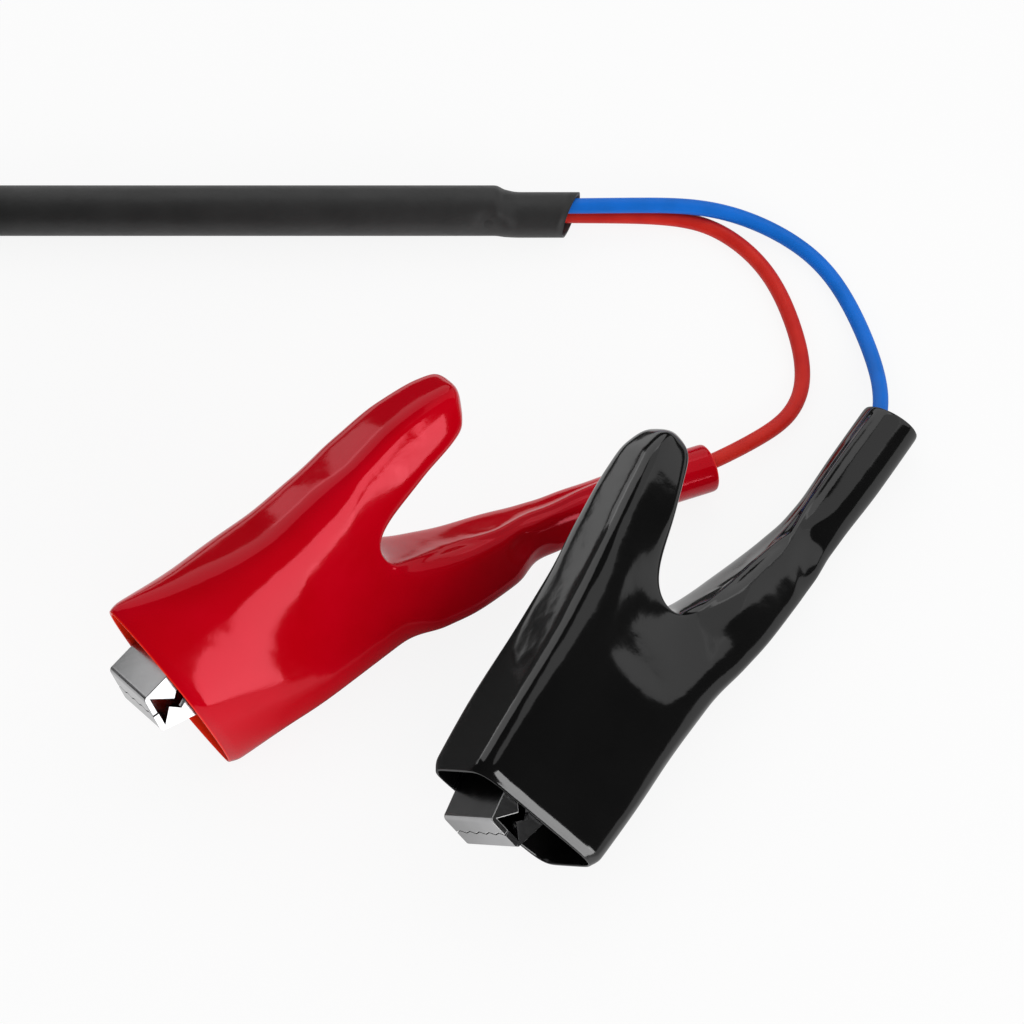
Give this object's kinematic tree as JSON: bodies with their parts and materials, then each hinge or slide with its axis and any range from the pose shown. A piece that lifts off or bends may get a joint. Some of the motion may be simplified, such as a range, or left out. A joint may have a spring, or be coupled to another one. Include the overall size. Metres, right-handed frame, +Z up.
{
  "type": "battery charger clamp lead",
  "caption": "Battery charger output lead: a sheathed cable splits at a heat-shrink sleeve into cores with sprung steel clips in PVC boots, and coils away to a quick connector.",
  "frame": {"origin": "on the table, under the middle of the box round the two clips and the heat-shrink split", "axes": "+Z up from the table, +X along the cable towards the split, +Y away from the viewer"},
  "size_m": [0.2496, 0.1477, 0.038],
  "materials": {
    "red_pvc": "gloss",
    "black_pvc": "gloss",
    "plated_steel": "satin",
    "spring_steel": "satin",
    "copper": "satin",
    "red_insulation": "satin",
    "blue_insulation": "satin",
    "heat_shrink": "satin",
    "cable_sheath": "matt",
    "tie": "satin",
    "connector_moulding": "satin",
    "contact": "satin"
  },
  "bodies": {
    "root": {"red_lower_jaw": "plated_steel", "red_rivet": "plated_steel", "red_spring": "spring_steel", "red_boot": "red_pvc", "red_strands": "copper", "black_lower_jaw": "plated_steel", "black_rivet": "plated_steel", "black_spring": "spring_steel", "black_boot": "black_pvc", "black_strands": "copper", "red_core": "red_insulation", "blue_core": "blue_insulation", "heat_shrink": "heat_shrink", "cable_end": "cable_sheath", "cable_run": "cable_sheath", "cable_coil": "cable_sheath", "cable_tail": "cable_sheath", "coil_ties": "tie", "strain_relief": "connector_moulding", "connector_body": "connector_moulding", "connector_pin": "contact", "connector_socket": "contact"},
    "red_jaw": {"red_upper_jaw": "plated_steel"},
    "black_jaw": {"black_upper_jaw": "plated_steel"}
  },
  "joints": [
    {"name": "red_jaw_hinge", "type": "hinge", "parent": "root", "child": "red_jaw", "pos_m": [-0.02116, -0.01691, 0.01879], "axis": [-0.4405, 0.7031, -0.5582], "range_deg": [0, 26], "stiffness_Nm_per_rad": 0.1, "springref_deg": -14.32, "deforming": ["red_spring", "red_boot"]},
    {"name": "black_jaw_hinge", "type": "hinge", "parent": "root", "child": "black_jaw", "pos_m": [0.02488, -0.03264, 0.01679], "axis": [-0.5904, 0.3893, -0.707], "range_deg": [0, 26], "stiffness_Nm_per_rad": 0.1, "springref_deg": -14.32, "deforming": ["black_spring", "black_boot"]}
  ]
}
